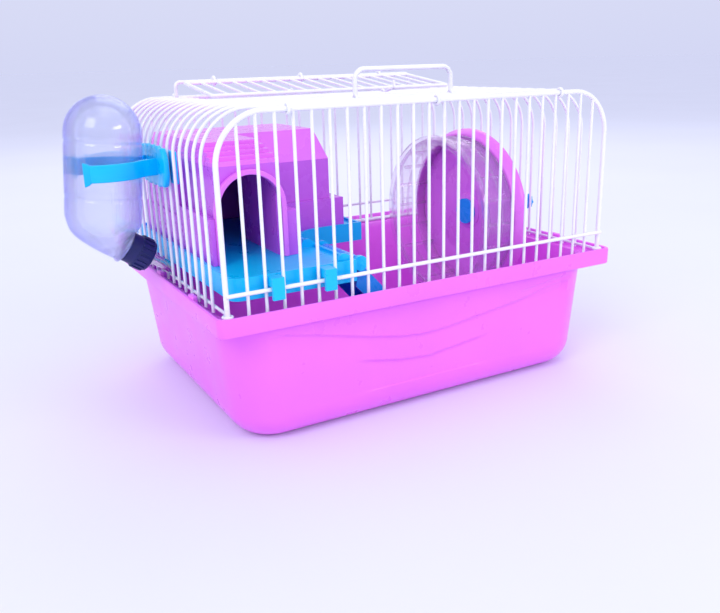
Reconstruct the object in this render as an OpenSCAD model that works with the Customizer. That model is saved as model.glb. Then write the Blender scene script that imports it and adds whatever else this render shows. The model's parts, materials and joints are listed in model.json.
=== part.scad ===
// Small pet cage: a moulded tub, a lift-off wire top, and the house, platform, ramp,
// running wheel and water bottle that hang on it. Millimetres, +Z up, origin at the
// centre of the tub's flat underside, +X along the long side, -Y is the front.

/* [Tub] */
// Length over the rim
rim_l = 267; // [250:1:290]
// Depth over the rim
rim_w = 197; // [185:1:215]
// Height of the rim's top edge above the floor
lip_z = 79; // [70:1:90]
// Height of the outer rim band
rim_band = 10; // [8:1:14]
// Depth of the ledge below the lip
ledge_drop = 5; // [4:0.5:7]
// Wall thickness of the moulding
tub_wall = 2.2; // [1.6:0.1:3]
// Radius of the bottom edge
floor_r = 18; // [10:1:20]

/* [Wire top] */
// Wire diameter of the bars
bar_d = 1.8; // [1.6:0.1:2.2]
// Wire diameter of the panel frames
frame_d = 2.8; // [2.6:0.1:3.2]
// Height of the panel frames above the lip
panel_h = 98.5; // [80:0.5:120]
// Distance between the bars of the front and back panels
bar_pitch = 10; // [9.5:0.1:10.5]
// Number of hoops over the top
hoop_count = 14; // [14:1:14]
// Distance between the hoops
hoop_pitch = 11.4; // [11:0.1:11.6]
// Centreline radius of the shoulders
shoulder_r = 26; // [22:1:30]

/* [Running wheel] */
// Outer diameter of the solid side disc
wheel_d = 110; // [90:1:112]
// Width of the running drum
drum_w = 28; // [20:1:28]
// Number of treads
tread_count = 20; // [12:1:24]

/* [Water bottle] */
// Outer diameter of the bottle
bottle_d = 42; // [38:1:44]
// Angle of the spout to the bottle's base plane
spout_tilt = 27.5; // [26:0.5:32]

/* [House] */
// Width of the doorway
doorway_w = 36; // [30:1:36]
// Height of the house top above the platform
house_h = 62; // [58:1:66]

/* [Hidden] */
$fn = 48;
eps = 0.2;

// --- tub ---
ledge_z = lip_z - ledge_drop;
body_top_x = rim_l / 2 - 6;
body_top_y = rim_w / 2 - 5.5;
body_low_x = body_top_x - 6;
body_low_y = body_top_y - 2;

// --- wire top ---
panel_y = body_top_y - 1;
panel_x = 126.5;
seat_gap = 0.3;
base_z = ledge_z + seat_gap + frame_d / 2;
panel_top_z = lip_z + panel_h;
cross_z = lip_z + 10.2;
cross_d = 2.2;
cross_y = panel_y + (bar_d + cross_d) / 2 - 0.3;
hoop_x = 127;
hoop_top_z = panel_top_z + 0.5;
hoop_y0 = -72;
bend_x = hoop_x - shoulder_r;
bend_z = hoop_top_z - shoulder_r;
rod_x = 88;
rod_z = hoop_top_z - bar_d + 0.2;
rod_end_y = panel_y - frame_d / 2 - 0.9;
eye_d = 1.6;
first_open = 9;
last_open = 12;
door_front_y = hoop_y0 + (first_open - 1) * hoop_pitch;
door_rear_y = hoop_y0 + (last_open + 1) * hoop_pitch;
side_rod_x = hoop_x - bar_d + 0.2;

// --- door ---
hinge_z = lip_z + 109;
rail_d = 2.4;
door_half_w = 86;
door_d = 2.4;
door_front_z = hoop_top_z + bar_d / 2 + door_d / 2 + 0.4;
door_run = door_rear_y - door_front_y;
door_slope = atan((hinge_z - door_front_z) / door_run);
door_len = door_run / cos(door_slope);
door_bays = 16;
door_rear_bar = -6;
door_pitch = 2 * door_half_w / door_bays;
eye_x = [-6 * door_pitch, 0, 6 * door_pitch];

// --- handle and latch ---
handle_hoop_y = hoop_y0 + 2 * hoop_pitch;
handle_x = 7;
handle_w = 66;
handle_rise = 16;
handle_d = 2.8;
handle_corner = 6;
latch_hoop_y = door_front_y - hoop_pitch;
latch_x = 2.5 * door_pitch;
latch_len = 15;
latch_d = 1.6;
latch_rest = 166;

// --- platform ---
tray_z = lip_z + 17;
tray_h = 12;
tray_t = 2;
tray_lip = 1.6;
deck_z = tray_z - tray_lip;
tray_x0 = -122;
tray_x1 = -50;
arm_x1 = 3;
arm_y0 = -1;
sweep_r = 22;
tray_y = 88.5;
hook_w = 6.6;
hook_xs = [-100, -70];
pin_x = tray_x1 + 3.6;
pin_z = tray_z - 3;
pin_d = 3;
ramp_y0 = -82;
ramp_y1 = -43;

// --- ramp ---
ramp_tilt = 48;
ramp_len = 102;
ramp_t = 1.6;

// --- house ---
house_wall = 2;
porch_x = -94.5;
porch_w = 38;
porch_y0 = -50;
main_x0 = -117;
main_x1 = -17;
main_y0 = 5;
main_y1 = 76;
porch_base_h = 24;
main_base_h = 17.5;
base_out = 9;
porch_eave = 51;
main_eave = 43;
arch_ring = 2.8;
arch_z = tray_z + 28;
house_z = deck_z + 0.02;
roof_rise = 7;
roof_t = 1.6;

// --- wheel ---
wheel_x = 75;
axle_y = hoop_y0 + 4.6 * hoop_pitch;
wheel_z = lip_z + 19.5;
wheel_yaw = 3;
drum_r = wheel_d / 2 - 5;
rim_reach = 5.5;
axle_d = 6;
bore_gap = 0.06;
wall_gap = 0.5;
head_r = 8.5;
head_t = 2;
boss_h = 0.8;

// --- bottle ---
bottle_x = -158.5;
bottle_lean = 6.5;
bottle_y = hoop_y0 + 6.5 * hoop_pitch;
bottle_r = bottle_d / 2;
bottle_top = lip_z + 106;
bottle_low = lip_z + 39;
bottle_wall = 1.2;
neck_r = 8;
neck_len = 6;
neck_at = [bottle_x + 11.9, bottle_y, lip_z + 23.1];
cap_r = 10;
collar_r = 8.9;
cap_len = 14.5;
spout_r = 3.2;
spout_bore = 2.5;
spout_lip = 0.6;
spout_mouth = 1.9;
spout_len = 15.5;
ball_r = 2.4;
clip_gap = 0.4;
clip_t = 2;
clip_z = lip_z + 66;
clip_h = 9.5;
plate_h = 24;

// ---------- shared shapes ----------

// Corner points of a rectangle with rounded corners, anticlockwise from +X.
function rounded_points(half_x, half_y, r, steps = 8) = [
  for (q = [0 : 3], i = [0 : steps])
    let (
      a = 90 * (q + i / steps),
      sx = (q == 0 || q == 3) ? 1 : -1,
      sy = (q < 2) ? 1 : -1
    )
    [sx * (half_x - r) + r * cos(a), sy * (half_y - r) + r * sin(a)]
];

module slab(half_x, half_y, r, z0, z1) {
  translate([0, 0, z0])
    linear_extrude(z1 - z0) polygon(rounded_points(half_x, half_y, r));
}

module box(lo, hi) {
  translate(lo) cube(hi - lo);
}

// Straight round wire between two points.
module wire(from, to, d) {
  run = to - from;
  len = norm(run);
  translate(from)
    rotate([0, acos(run[2] / len), atan2(run[1], run[0])])
      cylinder(h = len, d = d);
}

// Round wire bent in the X-Z plane, angles counted from +X towards +Z.
module bend_xz(centre, r, d, start, span) {
  translate(centre) rotate([90, -start, 0])
    rotate_extrude(angle = span) translate([r, 0]) circle(d = d);
}

// Closed eye of wire round a bar that lies along X.
module eye_on_x(at, bar, d = eye_d) {
  translate(at) rotate([0, 90, 0])
    rotate_extrude() translate([bar / 2 + 0.08 + d / 2, 0]) circle(d = d);
}

// Closed eye of wire round a bar that stands along Z.
module eye_on_z(at, bar, d = eye_d) {
  translate(at)
    rotate_extrude() translate([bar / 2 + 0.08 + d / 2, 0]) circle(d = d);
}

function hoop_y(i) = hoop_y0 + i * hoop_pitch;

// ---------- tub ----------

module tub_form(inset, z_top) {
  hull() {
    slab(body_top_x - inset, body_top_y - inset, 28 - inset, z_top - eps, z_top);
    for (a = [0 : 15 : 90]) {
      edge = (floor_r - inset) * (1 - sin(a));
      z = inset + (floor_r - inset) * (1 - cos(a));
      slab(body_low_x - inset - edge, body_low_y - inset - edge,
           26 - inset - edge, z, z + eps / 4);
    }
  }
}

module rim() {
  lip_in = tub_wall - 0.2;
  difference() {
    slab(rim_l / 2, rim_w / 2, 5, lip_z - rim_band, lip_z);
    slab(rim_l / 2 - lip_in, rim_w / 2 - lip_in, 4, ledge_z, lip_z + 1);
    slab(rim_l / 2 - lip_in, rim_w / 2 - lip_in, 4,
         lip_z - rim_band - 1, ledge_z - tub_wall);
    tub_form(tub_wall, ledge_z + 1);
  }
}

module tub() {
  color("violet") {
    difference() {
      union() {
        tub_form(0, ledge_z - 0.6);
        rim();
      }
      tub_form(tub_wall, ledge_z + 1);
    }
  }
}

// ---------- wire top ----------

function panel_bar_top(x) =
  let (edge = panel_x - shoulder_r, over = abs(x) - edge)
  over <= 0 ? panel_top_z : panel_top_z - shoulder_r + sqrt(shoulder_r ^ 2 - over ^ 2);

// One flat end panel: frame, bars and a cross wire on its outer face (side = -1 or 1).
module flat_panel(side) {
  y = side * panel_y;
  side_top = panel_top_z - shoulder_r;
  edge = panel_x - shoulder_r;
  for (sx = [-1, 1])
    wire([sx * panel_x, y, base_z], [sx * panel_x, y, side_top], frame_d);
  bend_xz([edge, y, side_top], shoulder_r, frame_d, 0, 90);
  bend_xz([-edge, y, side_top], shoulder_r, frame_d, 90, 90);
  wire([-edge, y, panel_top_z], [edge, y, panel_top_z], frame_d);
  wire([-panel_x, y, base_z], [panel_x, y, base_z], frame_d);
  for (sx = [-1, 1])
    translate([sx * panel_x, y, base_z]) sphere(d = frame_d);
  for (i = [0 : 23]) {
    x = (i - 11.5) * bar_pitch;
    wire([x, y, base_z], [x, y, panel_bar_top(x)], bar_d);
  }
  wire([-panel_x - 0.5, side * cross_y, cross_z],
       [panel_x + 0.5, side * cross_y, cross_z], cross_d);
}

module front_panel() {
  color("white") flat_panel(-1);
}

module back_panel() {
  color("white") flat_panel(1);
}

// The upright legs of the hoops, on a foot wire whose ends curl round the panels' sides.
module end_bars(side) {
  x = side * hoop_x;
  foot_x = side * side_rod_x;
  for (i = [0 : hoop_count - 1])
    wire([x, hoop_y(i), base_z], [x, hoop_y(i), bend_z], bar_d);
  wire([foot_x, -rod_end_y, base_z + 2.6], [foot_x, rod_end_y, base_z + 2.6], bar_d);
  for (sy = [-1, 1])
    eye_on_z([side * panel_x, sy * panel_y, base_z + 2.6], frame_d);
}

module end_bars_left() {
  color("white") end_bars(-1);
}

module end_bars_right() {
  color("white") end_bars(1);
}

module shoulder_bars(side) {
  for (i = [0 : hoop_count - 1])
    bend_xz([side * bend_x, hoop_y(i), bend_z], shoulder_r, bar_d,
            side > 0 ? 0 : 90, 90);
}

module shoulder_bars_left() {
  color("white") shoulder_bars(-1);
}

module shoulder_bars_right() {
  color("white") shoulder_bars(1);
}

module roof_bars_front() {
  color("white") {
    for (i = [0 : first_open - 1])
      wire([-bend_x, hoop_y(i), hoop_top_z], [bend_x, hoop_y(i), hoop_top_z], bar_d);
    for (x = [-rod_x, 0, rod_x]) {
      wire([x, -rod_end_y, rod_z], [x, door_front_y, rod_z], bar_d);
      eye_on_x([x, -panel_y, panel_top_z], frame_d);
    }
  }
}

module roof_bars_rear() {
  color("white") {
    wire([-bend_x, door_rear_y, hoop_top_z], [bend_x, door_rear_y, hoop_top_z], bar_d);
    for (x = [-rod_x, 0, rod_x]) {
      wire([x, door_rear_y, rod_z], [x, rod_end_y, rod_z], bar_d);
      eye_on_x([x, panel_y, panel_top_z], frame_d);
    }
  }
}

// Short bars beside the door opening, with the edge wire that closes it.
module roof_stubs(side) {
  for (i = [first_open : last_open])
    wire([side * bend_x, hoop_y(i), hoop_top_z],
         [side * (rod_x - 0.6), hoop_y(i), hoop_top_z], bar_d);
  wire([side * rod_x, door_front_y, rod_z], [side * rod_x, door_rear_y, rod_z], bar_d);
}

module roof_bars_left() {
  color("white") roof_stubs(-1);
}

module roof_bars_right() {
  color("white") roof_stubs(1);
}

// Goalpost of wire that carries the door's hinge above the rear bar of the opening.
module hinge_rail() {
  post_x = door_half_w + 5;
  corner = 3;
  color("white") {
    for (sx = [-1, 1]) {
      wire([sx * post_x, door_rear_y, hoop_top_z + bar_d / 2 - eps / 4],
           [sx * post_x, door_rear_y, hinge_z - corner], rail_d);
    }
    bend_xz([post_x - corner, door_rear_y, hinge_z - corner], corner, rail_d, 0, 90);
    bend_xz([corner - post_x, door_rear_y, hinge_z - corner], corner, rail_d, 90, 90);
    wire([corner - post_x, door_rear_y, hinge_z],
         [post_x - corner, door_rear_y, hinge_z], rail_d);
  }
}

// ---------- top door, latch and handle ----------

// Places children in the door's own plane: hinge line on X, the panel along -Y.
module door_plane() {
  translate([0, door_rear_y, hinge_z]) rotate([door_slope, 0, 0]) children();
}

module door_grille() {
  rear = door_rear_bar;
  color("white") door_plane() {
    for (y = [rear, -door_len])
      wire([-door_half_w, y, 0], [door_half_w, y, 0], door_d);
    for (sx = [-1, 1]) {
      wire([sx * door_half_w, rear, 0], [sx * door_half_w, -door_len, 0], door_d);
      for (y = [rear, -door_len])
        translate([sx * door_half_w, y, 0]) sphere(d = door_d);
    }
    for (i = [1 : door_bays - 1])
      wire([-door_half_w + i * door_pitch, rear, 0],
           [-door_half_w + i * door_pitch, -door_len, 0], bar_d - 0.2);
  }
}

module door_eyes() {
  coil_d = 2.2;
  stem_d = 1.8;
  ring_r = rail_d / 2 + 0.08 + coil_d / 2;
  color("white") for (x = eye_x) {
    eye_on_x([x, door_rear_y, hinge_z], rail_d, coil_d);
    door_plane() wire([x, -ring_r - 0.3, 0], [x, door_rear_bar + door_d / 2, 0], stem_d);
  }
}

// Hook wire on the bar in front of the door: it lies forward when the door is free.
module door_latch() {
  root = bar_d / 2 + 0.08 + latch_d;
  color("white")
    translate([latch_x, latch_hoop_y, hoop_top_z]) rotate([latch_rest, 0, 0]) {
      rotate([0, 90, 0])
        rotate_extrude() translate([bar_d / 2 + 0.08 + latch_d / 2, 0]) circle(d = latch_d);
      wire([0, root - 0.5, 0], [0, latch_len, 0], latch_d);
      translate([0, latch_len, 0]) sphere(d = latch_d);
      wire([0, latch_len, 0], [0, latch_len, -4.5], latch_d);
    }
}

module handle_bail() {
  leg_x = handle_w / 2;
  top = handle_rise;
  color("white") translate([handle_x, handle_hoop_y, hoop_top_z]) {
    for (sx = [-1, 1])
      wire([sx * leg_x, 0, 2.2], [sx * leg_x, 0, top - handle_corner], handle_d);
    for (sx = [-1, 1]) eye_on_x([sx * leg_x, 0, 0], bar_d, 1.8);
    bend_xz([leg_x - handle_corner, 0, top - handle_corner], handle_corner, handle_d, 0, 90);
    bend_xz([handle_corner - leg_x, 0, top - handle_corner], handle_corner, handle_d, 90, 90);
    wire([handle_corner - leg_x, 0, top], [leg_x - handle_corner, 0, top], handle_d);
  }
}

// ---------- platform and ramp ----------

// Outline of the platform seen from above, grown inwards by inset.
module tray_outline(inset) {
  r = 6 - inset;
  polygon([
    for (i = [0 : 6])
      [tray_x0 + 6 - r * cos(15 * i), -tray_y + 6 - r * sin(15 * i)],
    [tray_x1 - inset, -tray_y + inset],
    for (i = [0 : 8])
      [tray_x1 + sweep_r - (sweep_r + inset) * cos(11.25 * i),
       arm_y0 - sweep_r + (sweep_r + inset) * sin(11.25 * i)],
    [arm_x1 - inset, arm_y0 + inset],
    [arm_x1 - inset, tray_y - inset],
    for (i = [0 : 6])
      [tray_x0 + 6 - r * sin(15 * i), tray_y - 6 + r * cos(15 * i)]
  ]);
}

module tray_hook(x, side) {
  in_y = side * (tray_y - tray_t);
  out_y = side * (cross_y + cross_d / 2 + 0.4);
  drop_y = out_y + side * tray_t;
  lo = min(in_y, drop_y);
  hi = max(in_y, drop_y);
  box([x - hook_w / 2, lo, cross_z + cross_d / 2 + 0.4],
      [x + hook_w / 2, hi, tray_z - 0.4]);
  box([x - hook_w / 2, min(out_y, drop_y), tray_z - tray_h],
      [x + hook_w / 2, max(out_y, drop_y), tray_z - 0.4]);
}

// Low rounded guards on the deck, one each side of the head of the ramp.
module tray_guard(y) {
  translate([tray_x1, y + tray_t, tray_z]) rotate([90, 0, 0])
    linear_extrude(tray_t)
      polygon([
        [-10, -tray_lip - 1], [-10, 1.4], [-9, 3], [-7, 3.8], [-5, 3.5], [-3, 2.2], [0, -0.8],
        [0, -tray_lip - 1]
      ]);
}

module platform_tray() {
  lug_r = 4.2;
  color("deepskyblue") difference() {
    union() {
      difference() {
        translate([0, 0, tray_z - tray_h]) linear_extrude(tray_h) tray_outline(0);
        translate([0, 0, tray_z - tray_h - 1])
          linear_extrude(tray_h + 1 - tray_lip - tray_t) tray_outline(tray_t);
        translate([0, 0, deck_z]) linear_extrude(tray_lip + 1) tray_outline(tray_t);
      }
      for (x = hook_xs, side = [-1, 1]) tray_hook(x, side);
      for (y = [ramp_y0 - 4, ramp_y1 + 2]) tray_guard(y);
      for (y = [ramp_y0 - 5, ramp_y1 + 2])
        translate([pin_x, y, pin_z]) rotate([-90, 0, 0]) cylinder(h = 3, r = lug_r);
    }
    translate([pin_x, ramp_y0 - 6, pin_z]) rotate([-90, 0, 0])
      cylinder(h = ramp_y1 - ramp_y0 + 12, d = pin_d + 0.02);
  }
}

module ramp_pin() {
  color("deepskyblue")
    translate([pin_x, ramp_y0 - 5, pin_z]) rotate([-90, 0, 0])
      cylinder(h = ramp_y1 - ramp_y0 + 10, d = pin_d);
}

// The ramp in its own plane: X runs down the slope from the pin, Z is off the tread.
module ramp() {
  w = ramp_y1 - ramp_y0;
  cheek_lo = -10;
  cheek_hi = 1;
  barrel_r = 3.2;
  tread_n = 12;
  color("dodgerblue")
    translate([pin_x, ramp_y0, pin_z]) rotate([0, ramp_tilt, 0]) {
      difference() {
        union() {
          translate([0, 1, 0]) rotate([-90, 0, 0]) cylinder(h = w - 2, r = barrel_r);
          box([0, 1, -ramp_t - 0.6], [8, w - 1, -0.6]);
          box([5.5, 0, -ramp_t - 0.6], [ramp_len, w, -0.6]);
          for (y = [0, w - ramp_t])
            translate([0, y + ramp_t, 0]) rotate([90, 0, 0]) linear_extrude(ramp_t)
              polygon([
                [5.5, cheek_lo + 6], [10, cheek_lo], [ramp_len - 14, cheek_lo],
                [ramp_len, -3], [ramp_len, 0], [ramp_len - 2, cheek_hi],
                [7, cheek_hi], [5.5, cheek_hi - 1.5]
              ]);
          for (i = [1 : tread_n])
            box([i * ramp_len / (tread_n + 1) - 1, 0.8, -1],
                [i * ramp_len / (tread_n + 1) + 1, w - 0.8, 0.8]);
        }
        translate([0, -1, 0]) rotate([-90, 0, 0])
          cylinder(h = w + 2, d = pin_d + 2 * bore_gap);
      }
    }
}

// ---------- house ----------

module arch_face(w, depth) {
  rotate([90, 0, 0]) linear_extrude(depth) {
    translate([0, arch_z]) circle(d = w);
    translate([-w / 2, house_z]) square([w, arch_z - house_z]);
  }
}

module house_base() {
  x0 = main_x0 - 1;
  x1 = main_x1 + base_out;
  px1 = porch_x + porch_w / 2 + base_out;
  py0 = porch_y0 - house_wall;
  color("mediumorchid") difference() {
    union() {
      box([x0, py0, house_z], [px1, main_y0 + 4, tray_z + porch_base_h]);
      box([x0, main_y0 - house_wall, house_z], [x1, main_y1 + 2, tray_z + main_base_h]);
    }
    translate([main_x0 + 1, 0, 0])
      box([0, porch_y0, deck_z - 1],
          [px1 - 2 - main_x0 - 1, main_y0 + 2, tray_z + porch_base_h - house_wall]);
    box([main_x0 + 1, main_y0, deck_z - 1],
        [x1 - 2, main_y1, tray_z + main_base_h - house_wall]);
    box([porch_x - porch_w / 2 - eps, porch_y0, deck_z - 1],
        [porch_x + porch_w / 2 + eps, main_y0 + 1, tray_z + porch_base_h + 1]);
    box([main_x0 - eps, main_y0 - eps, deck_z - 1],
        [main_x1 + eps, main_y1 + eps, tray_z + porch_base_h + 1]);
    translate([porch_x, porch_y0 + 1, 0])
      arch_face(doorway_w + 2 * arch_ring + eps, house_wall + 2);
  }
}

module house_walls() {
  px0 = porch_x - porch_w / 2;
  px1 = porch_x + porch_w / 2;
  t = house_wall;
  color("orchid") difference() {
    union() {
      box([px0, porch_y0, house_z], [px1, main_y0 + t, tray_z + porch_eave]);
      box([main_x0, main_y0, house_z], [main_x1, main_y1, tray_z + main_eave]);
    }
    box([px0 + t, porch_y0 + t, deck_z - 1], [px1 - t, main_y0 + 4 * t, tray_z + porch_eave + 1]);
    box([main_x0 + t, main_y0 + t, deck_z - 1],
        [main_x1 - t, main_y1 - t, tray_z + porch_eave + 1]);
    translate([porch_x, porch_y0 + t + 1, 0]) arch_face(doorway_w, t + 2);
  }
}

module doorway_trim() {
  color("plum") translate([porch_x, porch_y0, 0]) difference() {
    arch_face(doorway_w + 2 * arch_ring, house_wall + 1.5);
    translate([0, 1, 0]) arch_face(doorway_w, house_wall + 4);
  }
}

module main_roof_form(inset) {
  lo = tray_z + main_eave;
  hi = tray_z + house_h - inset;
  hull() {
    box([main_x0 + inset, main_y0 + inset, lo],
        [main_x1 - inset, main_y1 - inset, lo + eps]);
    box([main_x0 + roof_rise, main_y0 + roof_rise, hi - eps],
        [main_x1 - roof_rise, main_y1 - roof_rise, hi]);
  }
}

// Porch roof: shingle courses that step back up to the ridge level.
module porch_roof(inset) {
  courses = 5;
  course_h = (house_h - porch_eave) / courses;
  for (i = [0 : courses - 1])
    box([porch_x - porch_w / 2 + inset + i * 0.5, porch_y0 + inset + i * 5.4,
         tray_z + porch_eave],
        [porch_x + porch_w / 2 - inset - i * 0.5, main_y0 + 20,
         tray_z + porch_eave + (i + 1) * course_h - inset]);
}

module house_roof() {
  color("violet") difference() {
    union() {
      main_roof_form(0);
      porch_roof(0);
    }
    translate([0, 0, -eps]) main_roof_form(roof_t);
    translate([0, 0, -eps]) porch_roof(roof_t);
    box([porch_x - porch_w / 2 + roof_t, porch_y0 + 4, tray_z + main_eave - 1],
        [porch_x + porch_w / 2 - roof_t, main_y0 + 9, tray_z + porch_eave + eps]);
    box([porch_x - porch_w / 2 - eps, porch_y0 - 1, tray_z + main_eave - 1],
        [porch_x + porch_w / 2 + eps, main_y0 + house_wall + eps, tray_z + porch_eave]);
  }
}

// ---------- running wheel ----------

// The axle points slightly towards the back; X in here runs along it to the wall.
module round_axle(turn) {
  translate([hoop_x, axle_y, wheel_z]) rotate([0, 0, wheel_yaw])
    rotate([turn, 0, 0]) translate([-hoop_x, 0, 0]) children();
}

module on_axle(x) {
  round_axle(0) translate([x, 0, 0]) rotate([0, 90, 0]) children();
}

// Shallow pan: a solid face with a flared rim that stands forward round the drum.
module wheel_disc() {
  rim_r = wheel_d / 2;
  flare = 4;
  color("orchid") difference() {
    union() {
      on_axle(wheel_x - rim_reach) cylinder(h = flare, r1 = rim_r - 3, r2 = rim_r);
      on_axle(wheel_x - rim_reach + flare) cylinder(h = rim_reach - flare + 2, r = rim_r);
      on_axle(wheel_x + 2 - eps) cylinder(h = 6 + eps, r = 7);
    }
    difference() {
      on_axle(wheel_x - rim_reach - 1) cylinder(h = rim_reach + 1, r = drum_r + 0.02);
      on_axle(wheel_x - boss_h) cylinder(h = boss_h + 1, r = 12);
    }
    on_axle(wheel_x - 3) cylinder(h = 14, d = axle_d + 2 * bore_gap);
  }
}

module wheel_drum() {
  color("lavender") difference() {
    on_axle(wheel_x - drum_w) cylinder(h = drum_w, r = drum_r, $fn = 96);
    on_axle(wheel_x - drum_w - 1) cylinder(h = drum_w + 2, r = drum_r - 1.4, $fn = 96);
  }
}

module wheel_treads() {
  outer = drum_r - 1.45;
  color("thistle")
    for (i = [0 : tread_count - 1])
      round_axle(i * 360 / tread_count)
        box([wheel_x - drum_w + 3, -0.8, outer - 2.2], [wheel_x, 0.8, outer]);
}

module wheel_front_ring() {
  color("plum") difference() {
    on_axle(wheel_x - drum_w - 1.5) cylinder(h = 3, r = drum_r + 2.5);
    on_axle(wheel_x - drum_w - 2) cylinder(h = 2.02, r = drum_r - 3);
    on_axle(wheel_x - drum_w) cylinder(h = 3, r = drum_r);
  }
}

module wheel_axle() {
  head_x = wheel_x - boss_h - 0.4 - head_t;
  color("dodgerblue") {
    on_axle(head_x) cylinder(h = head_t, r = head_r);
    on_axle(head_x + 1) cylinder(h = hoop_x + 4 - head_x, d = axle_d);
    on_axle(wheel_x + 8.5) cylinder(h = 3, r = 5.5);
  }
}

module axle_wall_plate() {
  color("dodgerblue") difference() {
    on_axle(hoop_x - bar_d / 2 - wall_gap - 2.4) cylinder(h = 2.4, r = 6.2);
    on_axle(hoop_x - 6) cylinder(h = 8, d = axle_d + 0.02);
  }
}

module axle_nut() {
  grips = 8;
  color("dodgerblue") difference() {
    union() {
      on_axle(hoop_x + bar_d / 2 + wall_gap) cylinder(h = 3.6 - wall_gap, r = 4.6);
      for (i = [0 : grips - 1])
        round_axle(i * 360 / grips)
          box([hoop_x + bar_d / 2 + wall_gap, -0.7, 3.8], [hoop_x + bar_d / 2 + 3.6, 0.7, 5.2]);
    }
    on_axle(hoop_x) cylinder(h = 8, d = axle_d + 0.02);
  }
}

// ---------- water bottle ----------

// Leans children over with the bottle: its top towards the cage.
module lean() {
  pivot = [bottle_x, bottle_y, clip_z];
  translate(pivot) rotate([0, bottle_lean, 0]) translate(-pivot) children();
}

// Places children on the neck: +Z runs down the spout.
module on_spout(along) {
  translate(neck_at) rotate([0, 90 + spout_tilt, 0]) translate([0, 0, along]) children();
}

module bottle_form(inset) {
  r = bottle_r - inset;
  translate([bottle_x, bottle_y, bottle_low - eps])
    cylinder(h = bottle_top - bottle_r - bottle_low + 2 * eps, r = r);
  translate([bottle_x, bottle_y, bottle_top - bottle_r]) sphere(r = r);
  elbow_r = neck_r + 2 - inset;
  hull() {
    translate([bottle_x, bottle_y, bottle_low]) cylinder(h = 1, r = r, $fn = 32);
    on_spout(-25) sphere(r = elbow_r, $fn = 32);
    on_spout(-6) cylinder(h = 6 - inset, r = elbow_r, $fn = 32);
  }
}

module bottle_shell() {
  color("lavender") lean() difference() {
    union() {
      bottle_form(0);
      on_spout(-1) cylinder(h = neck_len + 1, r = neck_r);
    }
    bottle_form(bottle_wall);
    on_spout(-3) cylinder(h = neck_len + 4, r = neck_r - bottle_wall);
  }
}

module bottle_cap() {
  ribs = 18;
  bore = neck_r + 0.06;
  color("midnightblue") lean() difference() {
    union() {
      on_spout(1) cylinder(h = cap_len, r = collar_r);
      on_spout(6.5) cylinder(h = cap_len - 6.5, r = cap_r - 0.7);
      for (i = [0 : ribs - 1])
        on_spout(7.3) rotate([0, 0, i * 360 / ribs])
          box([cap_r - 1.4, -0.8, 0], [cap_r, 0.8, cap_len - 8.1]);
    }
    on_spout(0) cylinder(h = neck_len + 2.6, r = bore);
    on_spout(0) cylinder(h = cap_len + 2, r = spout_r + 0.01);
  }
}

module cap_seal() {
  color("gainsboro") lean() difference() {
    on_spout(neck_len + 0.3) cylinder(h = 2.2, r = neck_r - 0.2);
    on_spout(neck_len - 1) cylinder(h = 5, r = spout_r + 0.3);
  }
}

module spout_tube() {
  start = neck_len + 1;
  tip = cap_len + spout_len;
  color("silver") lean() difference() {
    union() {
      on_spout(start) cylinder(h = tip - start, r = spout_r);
      on_spout(cap_len + 1.2) cylinder(h = 2, r = spout_r + 1.4);
    }
    on_spout(start - 1) cylinder(h = tip - start + 1 - spout_lip, r = spout_bore);
    on_spout(start) cylinder(h = tip - start + 1, r = spout_mouth);
  }
}

module spout_ball() {
  tip = cap_len + spout_len;
  seat = tip - spout_lip - sqrt(ball_r ^ 2 - spout_mouth ^ 2) - 0.05;
  color("silver") lean() on_spout(seat) sphere(r = ball_r);
}

module bottle_clip() {
  arm_in = bottle_r + clip_gap;
  plate_x = -hoop_x - bar_d / 2 - 0.2;
  tip_x = bottle_x - 12;
  color("deepskyblue") {
    for (sy = [-1, 1]) translate([0, bottle_y, 0]) {
      box([tip_x, min(sy * arm_in, sy * (arm_in + clip_t)), clip_z - clip_h / 2],
          [plate_x, max(sy * arm_in, sy * (arm_in + clip_t)), clip_z + clip_h / 2]);
      box([tip_x - 2, min(sy * arm_in, sy * (arm_in + 4)), clip_z - clip_h / 2 - 1.5],
          [tip_x, max(sy * arm_in, sy * (arm_in + 4)), clip_z + clip_h / 2 + 1.5]);
    }
    box([plate_x - 3, bottle_y - arm_in - clip_t, clip_z - plate_h / 2],
        [plate_x, bottle_y + arm_in + clip_t, clip_z + plate_h / 2]);
    for (sy = [-1, 1])
      box([plate_x - 1, bottle_y + sy * hoop_pitch - 2.5, clip_z - 5],
          [plate_x + bar_d + 3, bottle_y + sy * hoop_pitch + 2.5, clip_z + 5]);
  }
}

module clip_lock_plate() {
  x = -hoop_x + bar_d / 2 + 0.2;
  color("deepskyblue") difference() {
    box([x, bottle_y - 24, clip_z - 9], [x + 2.2, bottle_y + 24, clip_z + 9]);
    for (sy = [-1, 1])
      box([x - 1, bottle_y + sy * hoop_pitch - 2.6, clip_z - 5.1],
          [x + 4, bottle_y + sy * hoop_pitch + 2.6, clip_z + 5.1]);
  }
}

// ---------- one line for each node ----------

tub();
front_panel();
back_panel();
end_bars_left();
end_bars_right();
shoulder_bars_left();
shoulder_bars_right();
roof_bars_front();
roof_bars_rear();
roof_bars_left();
roof_bars_right();
hinge_rail();
door_grille();
door_eyes();
door_latch();
handle_bail();
platform_tray();
ramp_pin();
ramp();
house_base();
house_walls();
house_roof();
doorway_trim();
wheel_disc();
wheel_drum();
wheel_treads();
wheel_front_ring();
wheel_axle();
axle_wall_plate();
axle_nut();
bottle_shell();
bottle_cap();
cap_seal();
spout_tube();
spout_ball();
bottle_clip();
clip_lock_plate();
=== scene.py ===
"""Hamster cage: looks, stage and camera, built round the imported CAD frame."""

import json
import math

import bmesh  # noqa: E402
import bpy  # noqa: E402
from mathutils import Matrix, Vector  # noqa: E402


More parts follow.
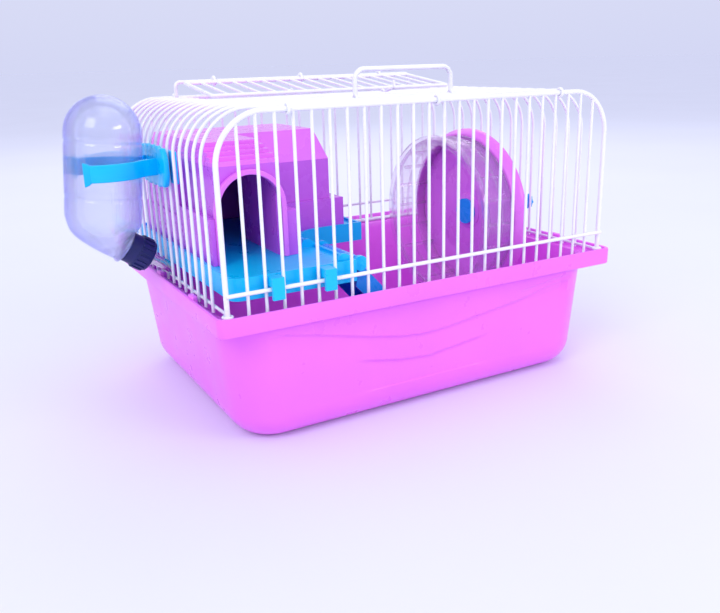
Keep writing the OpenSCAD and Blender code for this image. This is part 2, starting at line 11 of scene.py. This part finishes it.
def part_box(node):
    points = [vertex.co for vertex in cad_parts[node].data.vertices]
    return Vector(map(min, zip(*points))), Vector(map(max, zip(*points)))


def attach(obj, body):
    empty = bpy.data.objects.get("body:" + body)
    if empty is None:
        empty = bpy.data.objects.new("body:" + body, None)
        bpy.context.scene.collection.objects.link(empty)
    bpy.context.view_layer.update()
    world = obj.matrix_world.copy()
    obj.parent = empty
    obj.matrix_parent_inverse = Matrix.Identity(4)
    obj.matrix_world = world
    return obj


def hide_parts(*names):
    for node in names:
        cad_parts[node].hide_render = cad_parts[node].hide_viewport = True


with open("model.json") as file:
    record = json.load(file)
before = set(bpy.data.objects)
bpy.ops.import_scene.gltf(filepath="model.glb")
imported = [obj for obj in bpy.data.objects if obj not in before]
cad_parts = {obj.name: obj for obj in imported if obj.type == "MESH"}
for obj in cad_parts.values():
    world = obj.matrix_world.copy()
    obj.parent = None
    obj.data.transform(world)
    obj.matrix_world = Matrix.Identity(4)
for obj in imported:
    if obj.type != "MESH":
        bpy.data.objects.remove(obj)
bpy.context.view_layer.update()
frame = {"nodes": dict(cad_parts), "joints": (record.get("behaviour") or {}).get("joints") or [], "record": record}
NODES = frame["nodes"]
JOINTS = {joint["name"]: joint for joint in frame["joints"]}
MM = 0.001


def in_mm(metres):
    """A place in metres as round millimetres, the unit of every shape below."""
    return [round(c / MM, 3) for c in metres]


# ---------------------------------------------------------------- mesh tools

SAME_POINT = 1e-6  # metres between points that are merged in a new piece
SAME_CAD_POINT = 1e-5  # the same for a CAD node's triangles
EDGE_SEGMENTS = 3
EDGE_ANGLE = 28  # degrees above which a CAD node's edge is rounded


def piece(name, points, faces, finish, body, slot, stands_for, sharp):
    """A smooth-shaded piece from points in millimetres, riding on one body.

    Edges that turn by more than sharp degrees stay crisp.
    """
    data = bpy.data.meshes.new(name)
    data.from_pydata([tuple(c * MM for c in p) for p in points], [], faces)
    tidy = bmesh.new()
    tidy.from_mesh(data)
    bmesh.ops.remove_doubles(tidy, verts=tidy.verts, dist=SAME_POINT)
    bmesh.ops.recalc_face_normals(tidy, faces=tidy.faces)
    tidy.to_mesh(data)
    tidy.free()
    for poly in data.polygons:
        poly.use_smooth = True
    data.set_sharp_from_angle(angle=math.radians(sharp))
    data.materials.append(MAT[finish])
    made = bpy.data.objects.new(name, data)
    bpy.context.scene.collection.objects.link(made)
    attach(made, body)
    for cad in stands_for:
        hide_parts(cad)
    return made


def loft(rings, closed=False):
    """Points and faces of a skin through rings that all have the same number of points.

    A closed skin runs back to its first ring, and any other is capped at both ends.
    """
    count = len(rings[0])
    points = [p for ring in rings for p in ring]
    faces = []
    last = len(rings) if closed else len(rings) - 1
    for i in range(last):
        a, b = i * count, ((i + 1) % len(rings)) * count
        for j in range(count):
            k = (j + 1) % count
            faces.append((a + j, a + k, b + k, b + j))
    if not closed:
        faces.append(tuple(range(count)))
        faces.append(tuple(reversed(range(len(points) - count, len(points)))))
    return points, faces


def joined(*parts):
    """Several sets of points and faces as one."""
    points, faces = [], []
    for more_points, more_faces in parts:
        base = len(points)
        points += more_points
        faces += [tuple(base + i for i in face) for face in more_faces]
    return points, faces


def along(table, at):
    """Straight-line reading of a table of (x, value) rows."""
    if at <= table[0][0]:
        return table[0][1]
    for (x0, y0), (x1, y1) in zip(table, table[1:]):
        if at <= x1:
            return y0 + (y1 - y0) * (at - x0) / (x1 - x0)
    return table[-1][1]


def between(a, b, k):
    """The row of numbers a share k of the way from row a to row b."""
    return [p + (q - p) * k for p, q in zip(a, b)]


def smooth_step(t):
    """Eases from 0 to 1 as t goes from 0 to 1, and is level outside."""
    t = max(0.0, min(1.0, t))
    return t * t * (3 - 2 * t)


def soft_box(lo, hi, edge):
    """A block with rounded edges, as a loft of rounded rectangles along Z."""
    cx, cy = (lo[0] + hi[0]) / 2, (lo[1] + hi[1]) / 2
    hx, hy = (hi[0] - lo[0]) / 2, (hi[1] - lo[1]) / 2
    rings = []
    levels = [(a, -1) for a in (90, 60, 30, 0)] + [(a, 1) for a in (0, 30, 60, 90)]
    for a, side in levels:
        inset = edge * (1 - math.cos(math.radians(a)))
        rise = edge * (1 - math.sin(math.radians(a)))
        z = lo[2] + rise if side < 0 else hi[2] - rise
        corner = max(edge - inset, edge * 0.15)
        ring = []
        for q in range(4):
            sx = 1 if q in (0, 3) else -1
            sy = 1 if q < 2 else -1
            for step in range(4):
                turn = math.radians(90 * q + 30 * step)
                ring.append((cx + sx * (hx - inset - corner) + corner * math.cos(turn),
                             cy + sy * (hy - inset - corner) + corner * math.sin(turn), z))
        rings.append(ring)
    return loft(rings)


def softened(name, width):
    """Rounds the moulded edges of a CAD node without touching its mesh."""
    target = NODES[name]
    weld = target.modifiers.new("weld", "WELD")
    weld.merge_threshold = SAME_CAD_POINT
    bevel = target.modifiers.new("edge", "BEVEL")
    bevel.width = width * MM
    bevel.segments = EDGE_SEGMENTS
    bevel.limit_method = "ANGLE"
    bevel.angle_limit = math.radians(EDGE_ANGLE)
    bevel.use_clamp_overlap = True


# ---------------------------------------------------------------- materials


def new_material(name):
    """A new material, its node tree and its shader."""
    mat = bpy.data.materials.new(name)
    mat.use_nodes = True
    return mat, mat.node_tree, mat.node_tree.nodes["Principled BSDF"]


def noise(tree, scale, detail, rough=0.5):
    """A cloud texture in the object's own coordinates."""
    coords = tree.nodes.new("ShaderNodeTexCoord").outputs["Object"]
    made = tree.nodes.new("ShaderNodeTexNoise")
    made.inputs["Scale"].default_value = scale
    made.inputs["Detail"].default_value = detail
    made.inputs["Roughness"].default_value = rough
    tree.links.new(coords, made.inputs["Vector"])
    return made.outputs["Fac"]


def grade(tree, source, target, low, high):
    """Drives a socket from a texture through two stops, each a place and a colour or a grey."""
    made = tree.nodes.new("ShaderNodeValToRGB")
    for element, (at, colour) in zip(made.color_ramp.elements, (low, high)):
        element.position = at
        element.color = (*colour, 1.0) if isinstance(colour, tuple) else (colour,) * 3 + (1.0,)
    tree.links.new(source, made.inputs["Fac"])
    tree.links.new(made.outputs["Color"], target)


def bumped(tree, bsdf, scale, strength, height):
    """Fine relief on the shader's normal; height in metres."""
    bump = tree.nodes.new("ShaderNodeBump")
    bump.inputs["Strength"].default_value = strength
    bump.inputs["Distance"].default_value = height
    tree.links.new(noise(tree, scale, 2), bump.inputs["Height"])
    tree.links.new(bump.outputs["Normal"], bsdf.inputs["Normal"])


def coated(bsdf, weight, rough):
    """A clear gloss over the shader's own surface."""
    bsdf.inputs["Coat Weight"].default_value = weight
    bsdf.inputs["Coat Roughness"].default_value = rough


def scaled(colour, k):
    """A colour made k times as bright, up to white."""
    return tuple(min(1.0, c * k) for c in colour)


def plastic(name, colour, rough, mottling=0.06, dimple=0.025, coat=0.0):
    """Moulded plastic: faint flow marks in the colour, orange-peel bump, worn sheen."""
    mat, tree, bsdf = new_material(name)
    grade(tree, noise(tree, 14, 4), bsdf.inputs["Base Color"],
          (0.3, scaled(colour, 1 - mottling)), (0.7, scaled(colour, 1 + mottling)))
    grade(tree, noise(tree, 55, 5, 0.6), bsdf.inputs["Roughness"],
          (0.25, rough * 0.8), (0.8, rough * 1.35))
    bumped(tree, bsdf, 420, dimple, 0.0002)
    bsdf.inputs["Specular IOR Level"].default_value = 0.35
    if coat:
        coated(bsdf, coat, 0.08)
    return mat


def clear_plastic(name, colour, rough, ior, haze, gloss, solid, depth=0.0):
    """Thin clear plastic: tinted, with a little haze and uneven gloss.

    solid is the share of light that the wall catches, and depth the density of its own tint.
    """
    mat, tree, bsdf = new_material(name)
    cloud = noise(tree, 30, 4)
    grade(tree, cloud, bsdf.inputs["Base Color"], (0.3, scaled(colour, 0.96)), (0.7, colour))
    grade(tree, cloud, bsdf.inputs["Roughness"], (0.2, rough * 0.6), (0.8, rough * 1.6))
    bumped(tree, bsdf, 90, 0.08, 0.0006)
    bsdf.inputs["IOR"].default_value = ior
    bsdf.inputs["Transmission Weight"].default_value = 1.0 - haze
    bsdf.inputs["Alpha"].default_value = solid
    coated(bsdf, gloss, 0.05)
    if depth:
        tint = tree.nodes.new("ShaderNodeVolumeAbsorption")
        tint.inputs["Density"].default_value = depth
        tint.inputs["Color"].default_value = (0.34, 0.42, 1.0, 1.0)
        tree.links.new(tint.outputs["Volume"], tree.nodes["Material Output"].inputs["Volume"])
    return mat


def wire_coat(name, colour):
    """White powder-coated wire: slightly uneven coat with a fine grain and duller patches."""
    mat, tree, bsdf = new_material(name)
    cloud = noise(tree, 60, 4)
    grade(tree, cloud, bsdf.inputs["Base Color"], (0.25, scaled(colour, 0.93)), (0.75, colour))
    grade(tree, cloud, bsdf.inputs["Roughness"], (0.2, 0.2), (0.85, 0.42))
    bumped(tree, bsdf, 1400, 0.18, 0.0001)
    coated(bsdf, 0.3, 0.15)
    return mat


def steel(name):
    """Drawn stainless tube: fine streaks in tone and gloss."""
    mat, tree, bsdf = new_material(name)
    streak = noise(tree, 700, 2)
    grade(tree, streak, bsdf.inputs["Base Color"],
          (0.3, (0.52, 0.53, 0.56)), (0.7, (0.66, 0.67, 0.70)))
    grade(tree, streak, bsdf.inputs["Roughness"], (0.2, 0.18), (0.8, 0.34))
    bsdf.inputs["Metallic"].default_value = 1.0
    return mat


MAT = {
    "tub": plastic("tub_pink", (0.93, 0.185, 0.93), rough=0.3, mottling=0.04, coat=0.12),
    "pink": plastic("moulded_pink", (0.88, 0.20, 0.90), rough=0.27, coat=0.12),
    "violet": plastic("moulded_violet", (0.64, 0.13, 0.80), rough=0.27, coat=0.12),
    "cyan": plastic("moulded_cyan", (0.0, 0.55, 1.0), rough=0.3, coat=0.1),
    "blue": plastic("moulded_blue", (0.02, 0.35, 1.0), rough=0.25, coat=0.2),
    "navy": plastic("cap_navy", (0.016, 0.022, 0.13), rough=0.42, mottling=0.15, dimple=0.12),
    "seal": plastic("seal_white", (0.7, 0.7, 0.72), rough=0.6),
    "clear": clear_plastic("clear_violet", (0.97, 0.86, 1.0), rough=0.06, ior=1.12, haze=0.08,
                           gloss=1.0, solid=0.6),
    "bottle": clear_plastic("bottle_clear", (0.97, 0.98, 1.0), rough=0.04, ior=1.38, haze=0.05,
                            gloss=0.8, solid=0.5, depth=80.0),
    "wire": wire_coat("coated_wire", (0.95, 0.95, 1.0)),
    "steel": steel("spout_steel"),
}

# The record's material slots and the material that each is given here
FINISH = {
    "pink_tub": "tub",
    "white_wire": "wire",
    "cyan_plastic": "cyan",
    "blue_plastic": "blue",
    "violet_plastic": "violet",
    "pink_plastic": "pink",
    "clear_plastic": "clear",
    "navy_plastic": "navy",
    "seal_rubber": "seal",
    "spout_steel": "steel",
}
for part in frame["record"]["subparts"]:
    for entry in NODES[part["node"]].material_slots:
        entry.material = MAT[FINISH[part["material_slot"]]]

# ---------------------------------------------------------------- tub

RIM_X, RIM_Y, LIP = in_mm(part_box("tub")[1])
FRONT_STEPS = 128
WALL_STEPS = 76
INNER_STEPS = 12

# Outlines of the tub as (half length, half width, corner radius, height): the flat underneath,
# the top of the foot's curve, the line that the outer wall runs to, and the inner wall's ends
BASE = (95, 65, 6, 0)
FOOT = (121.5, 91, 26, 18)
BROW = (127.5, 93, 28, 73.4)
INNER_TOP = (125.2, 90.7, 25.4, 73)
INNER_FOOT = (119.3, 88.8, 23.8, 18)
UNDER_RIM = 71.8  # where the outer wall stops, inside the rim's skirt
FLOOR = 2.2  # thickness of the floor

# The rim band, from under its skirt over the lip to the ledge: (inset from the rim's face,
# corner radius, drop below the lip)
RIM = [
    (2.1, 4.4, 7.2), (2.0, 4.4, 7.6), (2.0, 4.4, 9.6), (1.6, 4.6, 10.0), (0.5, 5.2, 10.0),
    (0.1, 5.4, 9.7), (0.0, 5.5, 9.1), (0.0, 5.5, 1.1), (0.2, 5.4, 0.4), (0.8, 5.2, 0.0),
    (1.3, 5.0, 0.0), (1.8, 4.8, 0.3), (2.0, 4.6, 0.8), (2.0, 4.6, 4.4), (2.5, 5.0, 5.0),
]
# The ledge's inner edge: (distance outside the inner wall, corner radius, height)
LEDGE = [(1.2, 24.0, 74.0), (0.4, 24.8, 73.7), (0.0, 25.4, 73.0)]

# The tabs on each end's lip: their places along the end, and their size
TAB_AT = (-50, 11, 62)
TAB_X = 130.6
TAB_HALF = (1.5, 4)
TAB_Z = (73.5, 80.4)
TAB_EDGE = 0.8

# Wave lines across the front wall as rows of (x, height against the lip)
WAVES = [
    [(-118, -12.4), (-99, -16), (-79, -19.7), (-61, -24), (-45, -27.7), (-25, -31.4),
     (-8, -33), (10, -32), (32, -29), (71, -24), (111, -16.4)],
    [(-55, -40.2), (-25, -46.1), (-4, -47.7), (18, -45.3), (42, -42.3)],
    [(60, -19.5), (87, -16.5), (111, -13)],
]
WAVE_DEPTH = 2.0
WAVE_STEP = 0.7  # how fast the wall dips in under a line
WAVE_RUN = 11.0  # how slowly it comes back out below that
WAVE_END = 16.0  # length over which a line fades out at either end
WAVE_LEAD = 0.5  # how far above its line a dip starts


def rect_ring(hx, hy, r, z, push=None):
    """One closed ring round the tub; the front side is dense so that it can carry relief."""
    ring = []
    for i in range(FRONT_STEPS + 1):
        x = (2 * i / FRONT_STEPS - 1) * (hx - r)
        ring.append((x, -hy + (push(x, z) if push else 0.0), z))
    sides = [
        ((hx - r, -(hy - r)), -90, (hx, -(hy - r)), (hx, hy - r)),
        ((hx - r, hy - r), 0, (hx - r, hy), (-(hx - r), hy)),
        ((-(hx - r), hy - r), 90, (-hx, hy - r), (-hx, -(hy - r))),
        ((-(hx - r), -(hy - r)), 180, None, None),
    ]
    for (cx, cy), start, side_from, side_to in sides:
        for degrees in range(9, 90, 9):
            turn = math.radians(start + degrees)
            ring.append((cx + r * math.cos(turn), cy + r * math.sin(turn), z))
        if side_from:
            for step in range(9):
                ring.append((*between(side_from, side_to, step / 8), z))
    return ring


def wave_relief(x, z):
    """How far the front wall dips in under each wave line."""
    depth = 0.0
    for line in WAVES:
        fade = smooth_step((x - line[0][0]) / WAVE_END) * smooth_step((line[-1][0] - x) / WAVE_END)
        below = LIP + along(line, x) - z + WAVE_LEAD
        if fade > 0 and below > 0:
            step = 1 - math.exp(-below / WAVE_STEP)
            depth += WAVE_DEPTH * fade * step * math.exp(-below / WAVE_RUN)
    return depth


def rounded_foot(outline, low, step):
    """Rings of a quarter-round foot, from the flat underneath up to the outline."""
    hx, hy, r, z = outline
    height = z - low
    rings = []
    for a in range(0, 91, step):
        edge = height * (1 - math.sin(math.radians(a)))
        rings.append(rect_ring(hx - edge, hy - edge, r - edge,
                               low + height * (1 - math.cos(math.radians(a)))))
    return rings


def build_tub():
    """The moulding with its relief, rim and ledge, and the tabs that grip the wire top."""
    rings = [rect_ring(*BASE)] + rounded_foot(FOOT, 0, 9)
    reach = (UNDER_RIM - FOOT[3]) / (BROW[3] - FOOT[3])
    for i in range(1, WALL_STEPS + 1):
        rings.append(rect_ring(*between(FOOT, BROW, reach * i / WALL_STEPS), wave_relief))
    rings += [rect_ring(RIM_X - inset, RIM_Y - inset, r, LIP - drop) for inset, r, drop in RIM]
    rings += [rect_ring(INNER_TOP[0] + out, INNER_TOP[1] + out, r, z) for out, r, z in LEDGE]
    for i in range(1, INNER_STEPS + 1):
        rings.append(rect_ring(*between(INNER_TOP, INNER_FOOT, i / INNER_STEPS)))
    rings += list(reversed(rounded_foot(INNER_FOOT, FLOOR, 10)))[1:]
    rings.append(rect_ring(*BASE[:3], FLOOR))
    parts = [loft(rings)]
    for y in TAB_AT:
        for x in (-TAB_X, TAB_X):
            parts.append(soft_box((x - TAB_HALF[0], y - TAB_HALF[1], TAB_Z[0]),
                                  (x + TAB_HALF[0], y + TAB_HALF[1], TAB_Z[1]), TAB_EDGE))
    piece("tub_moulding", *joined(*parts), "tub", "tub", "pink_tub", ["tub"], 30)


# ---------------------------------------------------------------- bottle and clip

SHELL_LOW, SHELL_HIGH = (in_mm(corner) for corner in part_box("bottle_shell"))
CLIP_LOW, CLIP_HIGH = (in_mm(corner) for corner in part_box("bottle_clip"))
NECK = in_mm(JOINTS["cap_unscrew"]["pos_m"])
BOTTLE_X = -158.5  # axis of the upright bottle, before it leans
BOTTLE_Y = NECK[1]
BOTTLE_R = (SHELL_HIGH[1] - SHELL_LOW[1]) / 2
CLIP_Z = (CLIP_LOW[2] + CLIP_HIGH[2]) / 2
LEAN = math.radians(6.5)
ROUND = 72  # points round the bottle

CROWN = 185.0  # top of the bottle
BOTTLE_WALL = 1.8
# The pinched ribs: their heights, and their section as (cut into the wall, rise)
RIB_AT = (159.7, 129.8)
RIB = [(0.0, 1.6), (0.1, 0.9), (0.55, 0.3), (0.55, -0.3), (0.1, -0.9), (0.0, -1.6)]
SHOULDER_Z = 119.5  # where the round shell ends
# The shoulder's outlines as seen from the front, with heights above the lip:
# (outer x, outer height, inner x, inner height, half width)
SHOULDER = [
    (-181.9, 46.0, -140.3, 41.4, 21.0),
    (-182.3, 41.5, -140.7, 36.8, 21.0),
    (-179.6, 32.4, -141.7, 33.4, 20.4),
    (-172.6, 25.1, -143.3, 31.6, 17.4),
    (-165.0, 19.3, -144.9, 30.8, 13.2),
    (-157.9, 14.5, -146.9, 29.9, 10.0),
    (-156.4, 14.4, -146.0, 29.4, 9.3),
]
SHOULDER_STEPS = 26
SHOULDER_SKIP = 3  # steps that the upright bottle already covers

# The neck bead's section: (distance along the neck, radius)
BEAD = [(-1.7, 9.2), (-1.7, 10.3), (-1.3, 10.8), (-0.5, 10.8), (-0.1, 10.3), (-0.1, 9.2)]

# The clip: two arms round the bottle, a plate with a rippled edge, and two lugs
ARM_FROM, ARM_TURN = 22, 103  # degrees round the bottle from the plate's side
ARM_STEPS = 32
ARM_R = BOTTLE_R + 0.3
ARM_THICK = 1.9
ARM_EDGE = 0.6
ARM_LOW, ARM_HIGH = 140.4, 149.8
PLATE_X = (-128.2, -131.4)  # the faces towards the wires and the bottle
PLATE_HALF_Y = 24
PLATE_HALF_Z = 10.8
RIPPLE = 0.7
RIPPLE_PITCH = 9.6
LUG_AT = (-11.4, 11.4)


def leaned(x, y, z):
    """A point of the upright bottle, tipped with it towards the cage."""
    dx, dz = x - BOTTLE_X, z - CLIP_Z
    return (BOTTLE_X + dx * math.cos(LEAN) + dz * math.sin(LEAN), y,
            CLIP_Z - dx * math.sin(LEAN) + dz * math.cos(LEAN))


def around(count):
    """Evenly spaced angles of one turn."""
    return [2 * math.pi * j / count for j in range(count)]


def catmull(values, t):
    """Smooth curve through rows of numbers; t runs from 0 to the last row."""
    i = min(int(t), len(values) - 2)
    k = t - i
    p = [values[max(0, min(len(values) - 1, j))] for j in (i - 1, i, i + 1, i + 2)]
    return [0.5 * (2 * b + (c - a) * k + (2 * a - 5 * b + 4 * c - d) * k * k
                   + (3 * b - a - 3 * c + d) * k ** 3) for a, b, c, d in zip(*p)]


def build_bottle():
    """A blown shell: round crown, two pinched ribs, and a shoulder drawn over to the neck."""
    profile = [(0.02, CROWN)]
    for a in range(84, -1, -7):
        profile.append((BOTTLE_R * math.cos(math.radians(a)),
                        CROWN - BOTTLE_R * (1 - math.sin(math.radians(a)))))
    upper, lower = ([(BOTTLE_R - cut, at + rise) for cut, rise in RIB] for at in RIB_AT)
    profile += upper + [(BOTTLE_R, z) for z in (148, 140, 132)] + lower
    profile.append((BOTTLE_R, SHOULDER_Z))
    rings = []
    for r, z in profile:
        rings.append([leaned(BOTTLE_X + r * math.cos(t), BOTTLE_Y + r * math.sin(t), z)
                      for t in around(ROUND)])
    last = len(SHOULDER) - 2
    for i in range(SHOULDER_SKIP, SHOULDER_STEPS + 1):
        outer_x, outer_z, inner_x, inner_z, wide = catmull(SHOULDER, 1 + last * i / SHOULDER_STEPS)
        ring = []
        for t in around(ROUND):
            x, z = between((outer_x, outer_z), (inner_x, inner_z), (1 + math.cos(t)) / 2)
            ring.append((x, BOTTLE_Y + wide * math.sin(t), LIP + z))
        rings.append(ring)
    made = piece("bottle_body", *loft(rings), "bottle", "bottle", "clear_plastic",
                 ["bottle_shell"], 60)
    wall = made.modifiers.new("wall", "SOLIDIFY")
    wall.thickness = BOTTLE_WALL * MM
    wall.offset = -1


def build_neck_ring():
    """The bead round the neck that the cap's collar stops against."""
    out = Vector(JOINTS["cap_unscrew"]["axis"])
    side = Vector((0, 1, 0))
    up = side.cross(out) * -1
    rings = []
    for t, r in BEAD:
        rings.append([tuple(Vector(NECK) + out * t + (up * math.cos(a) + side * math.sin(a)) * r)
                      for a in around(ROUND)])
    piece("neck_bead", *loft(rings, closed=True), "bottle", "bottle", "clear_plastic", [], 40)


def arm_section(angle, radius, rise, side):
    """Upright rounded section of the clip arm at one angle round the bottle."""
    low, high = ARM_LOW - rise + ARM_EDGE, ARM_HIGH + rise - ARM_EDGE
    near, far = radius + ARM_EDGE, radius + ARM_THICK - ARM_EDGE
    ring = []
    for cr, cz, start in ((far, high, 0), (near, high, 90), (near, low, 180), (far, low, 270)):
        for step in range(4):
            turn = math.radians(start + 30 * step)
            r, z = cr + ARM_EDGE * math.cos(turn), cz + ARM_EDGE * math.sin(turn)
            ring.append((BOTTLE_X + r * math.cos(angle), BOTTLE_Y + side * r * math.sin(angle), z))
    return ring


def clip_arm(side):
    """One arm: flared at the plate, close round the bottle, with a raised lip at its tip."""
    rings = []
    for i in range(ARM_STEPS + 1):
        k = i / ARM_STEPS
        flare = 6.0 * (1 - k * 5) ** 2 if k < 0.2 else 0.0
        lip = 2.6 * smooth_step((k - 0.94) / 0.06)
        rise = 1.6 * smooth_step((k - 0.95) / 0.03)
        rings.append(arm_section(math.radians(ARM_FROM + ARM_TURN * k), ARM_R + flare + lip,
                                 rise, side))
    return loft(rings)


def clip_plate():
    """The plate against the wires, with a wavy edge and rounded ends."""
    outline = []
    for y in range(-PLATE_HALF_Y, PLATE_HALF_Y + 1):
        half = PLATE_HALF_Z + RIPPLE * math.cos(2 * math.pi * y / RIPPLE_PITCH)
        half *= math.sqrt(max(0.0, 1 - (abs(y) / (PLATE_HALF_Y + 0.6)) ** 8))
        outline.append((y, half))
    edge = outline + [(y, -half) for y, half in reversed(outline)]
    inner, outer = PLATE_X
    rings = []
    for x, inset in ((inner, 0.8), (inner - 0.3, 0.2), (inner - 0.8, 0), (outer + 0.8, 0),
                     (outer + 0.3, 0.3), (outer, 1.0)):
        rings.append([(x, BOTTLE_Y + y * (1 - inset / 24), CLIP_Z + z * (1 - inset / 11))
                      for y, z in edge])
    return loft(rings)


def build_clip():
    """Two arms, the plate, and the two lugs that pass between the wires."""
    parts = [clip_arm(-1), clip_arm(1), clip_plate()]
    for y in LUG_AT:
        parts.append(soft_box((-130, BOTTLE_Y + y - 2.4, 140.4), (-123.4, BOTTLE_Y + y + 2.4, 149.6),
                              0.7))
    piece("clip_moulding", *joined(*parts), "cyan", "wire_top", "cyan_plastic",
          ["bottle_clip"], 35)


# ---------------------------------------------------------------- running wheel

AXLE_AT = in_mm(JOINTS["wheel_spin"]["pos_m"])
YAW = math.atan2(JOINTS["wheel_spin"]["axis"][1], JOINTS["wheel_spin"]["axis"][0])
TURNED = 112  # points round the wheel

# The side's section as (place along the axle, radius): boss, grooved web, seat of the drum,
# flared rim, back face and long hub
WHEEL_SIDE = [
    (74.2, 3.12), (74.2, 11.4), (74.4, 11.8), (75.0, 12.0), (75.0, 30.0),
    (75.4, 31.0), (75.4, 33.0), (75.0, 34.0), (75.0, 50.05), (70.1, 50.05), (69.7, 50.2),
    (69.5, 50.7), (69.5, 51.4), (69.7, 52.0), (70.2, 52.5), (72.8, 54.4), (73.5, 54.8),
    (74.4, 55.0), (76.3, 55.0), (76.8, 54.7), (77.0, 54.2), (77.0, 46.0), (76.6, 45.2),
    (76.6, 44.0), (77.0, 43.2), (77.0, 7.8), (77.4, 7.1), (82.4, 7.0), (82.9, 6.6),
    (83.0, 6.0), (83.0, 3.12),
]
# The bands' places along the axle, and their section as (place, radius)
BAND_AT = (49.6, 60.5, 68.3)
BAND = [(-0.9, 49.9), (-0.6, 50.7), (0.0, 51.0), (0.6, 50.7), (0.9, 49.9)]


def on_axle(x, radius, turn):
    """A point of the wheel: x along the axle, then radius and turn round it."""
    dx, dy = x - AXLE_AT[0], radius * math.cos(turn)
    return (AXLE_AT[0] + dx * math.cos(YAW) - dy * math.sin(YAW),
            AXLE_AT[1] + dx * math.sin(YAW) + dy * math.cos(YAW),
            AXLE_AT[2] + radius * math.sin(turn))


def lathe(profile):
    """A section turned round the wheel's axle."""
    return loft([[on_axle(x, r, t) for t in around(TURNED)] for x, r in profile], closed=True)


def build_wheel():
    """The pan-shaped side and the raised bands round the clear drum."""
    piece("wheel_side", *lathe(WHEEL_SIDE), "pink", "wheel", "pink_plastic", ["wheel_disc"], 30)
    bands = [lathe([(at + x, r) for x, r in BAND]) for at in BAND_AT]
    piece("drum_bands", *joined(*bands), "clear", "wheel", "clear_plastic", [], 30)


# CAD nodes whose moulded edges are rounded, with the width of the rounding in millimetres
ROUNDED = {
    "house_walls": 0.9, "house_base": 0.8, "house_roof": 1.2, "doorway_trim": 0.5,
    "platform_tray": 0.6, "ramp": 0.4, "wheel_treads": 0.4, "wheel_front_ring": 0.5,
    "bottle_cap": 0.25, "clip_lock_plate": 0.5, "wheel_axle": 0.5, "axle_nut": 0.4,
    "axle_wall_plate": 0.4,
}

build_tub()
build_bottle()
build_neck_ring()
build_clip()
build_wheel()
for moulded, width in ROUNDED.items():
    softened(moulded, width)

# ---------------------------------------------------------------- stage


FLOOR_TINT, SKY_TINT = (0.83, 0.84, 0.96), (0.84, 0.86, 1.0)
FLOOR_HALF = 30.0
SKY_STRENGTH = 0.95
SKY_FULL = 0.35  # sine of the elevation at which the sky reaches its own tone

# Area lights: name, place, point that it faces, size in metres, watts
LIGHTS = [
    ("key", (-1.3, -0.9, 1.3), (0, 0, 0.08), (0.9, 0.9), 10),
    ("front_strip", (0.9, -1.45, 0.78), (0.07, 0, 0.1), (0.8, 0.25), 6),
    ("back_rim", (0.6, 1.2, 1.2), (0, 0, 0.1), (1.2, 0.8), 4.5),
]

# The camera's pose in degrees and millimetres: azimuth from +Y towards +X, angle down, roll
FOCAL_PX, WIDTH_PX = 780.86, 720.0
AZIMUTH, DROP, ROLL = (math.radians(angle) for angle in (29.21, 17.58, 1.61))
EYE = (-249.4, -447.4, 199.4)
SENSOR = 36.0


def area_light(name, at, aim, size, watts):
    """A soft rectangular light that faces a point."""
    data = bpy.data.lights.new(name, "AREA")
    data.shape = "RECTANGLE"
    data.size, data.size_y = size
    data.energy = watts
    lamp = bpy.data.objects.new(name, data)
    bpy.context.scene.collection.objects.link(lamp)
    lamp.location = at
    lamp.rotation_euler = (Vector(aim) - Vector(at)).to_track_quat("-Z", "Y").to_euler()


def make_floor():
    """A plain pale floor, matt so that it has no gloss of its own."""
    data = bpy.data.meshes.new("floor")
    corners = ((-1, -1), (1, -1), (1, 1), (-1, 1))
    data.from_pydata([(FLOOR_HALF * x, FLOOR_HALF * y, 0) for x, y in corners], [], [(0, 1, 2, 3)])
    floor = bpy.data.objects.new("floor", data)
    bpy.context.scene.collection.objects.link(floor)
    mat, tree, bsdf = new_material("pale_floor")
    grade(tree, noise(tree, 3, 3), bsdf.inputs["Base Color"],
          (0.3, scaled(FLOOR_TINT, 0.99)), (0.7, scaled(FLOOR_TINT, 1.01)))
    bsdf.inputs["Roughness"].default_value = 1.0
    bsdf.inputs["Specular IOR Level"].default_value = 0.0
    data.materials.append(mat)


def make_sky():
    """Even light from all round, which starts at the horizon with the floor's own tone."""
    world = bpy.data.worlds.new("studio")
    bpy.context.scene.world = world
    world.use_nodes = True
    tree = world.node_tree
    back = tree.nodes["Background"]
    aim = tree.nodes.new("ShaderNodeTexCoord")
    split = tree.nodes.new("ShaderNodeSeparateXYZ")
    tree.links.new(aim.outputs["Generated"], split.inputs["Vector"])
    horizon = tuple(a * b for a, b in zip(FLOOR_TINT, SKY_TINT))
    grade(tree, split.outputs["Z"], back.inputs["Color"], (0.0, horizon), (SKY_FULL, SKY_TINT))
    back.inputs["Strength"].default_value = SKY_STRENGTH


def make_camera():
    """The camera, turned from its azimuth, angle down and roll."""
    looking = Vector((math.sin(AZIMUTH) * math.cos(DROP), math.cos(AZIMUTH) * math.cos(DROP),
                      -math.sin(DROP)))
    right = looking.cross(Vector((0, 0, 1))).normalized()
    down = looking.cross(right).normalized()
    rolled_right = math.cos(ROLL) * right + math.sin(ROLL) * down
    rolled_down = -math.sin(ROLL) * right + math.cos(ROLL) * down
    data = bpy.data.cameras.new("camera")
    data.sensor_width = SENSOR
    data.lens = SENSOR * FOCAL_PX / WIDTH_PX
    data.clip_start = 0.01
    camera = bpy.data.objects.new("camera", data)
    bpy.context.scene.collection.objects.link(camera)
    basis = Matrix((rolled_right, -rolled_down, -looking)).transposed().to_4x4()
    camera.matrix_world = Matrix.Translation(Vector(EYE) * MM) @ basis
    bpy.context.scene.camera = camera


make_camera()
make_floor()
make_sky()
for light in LIGHTS:
    area_light(*light)
bpy.context.scene.view_settings.view_transform = "Standard"
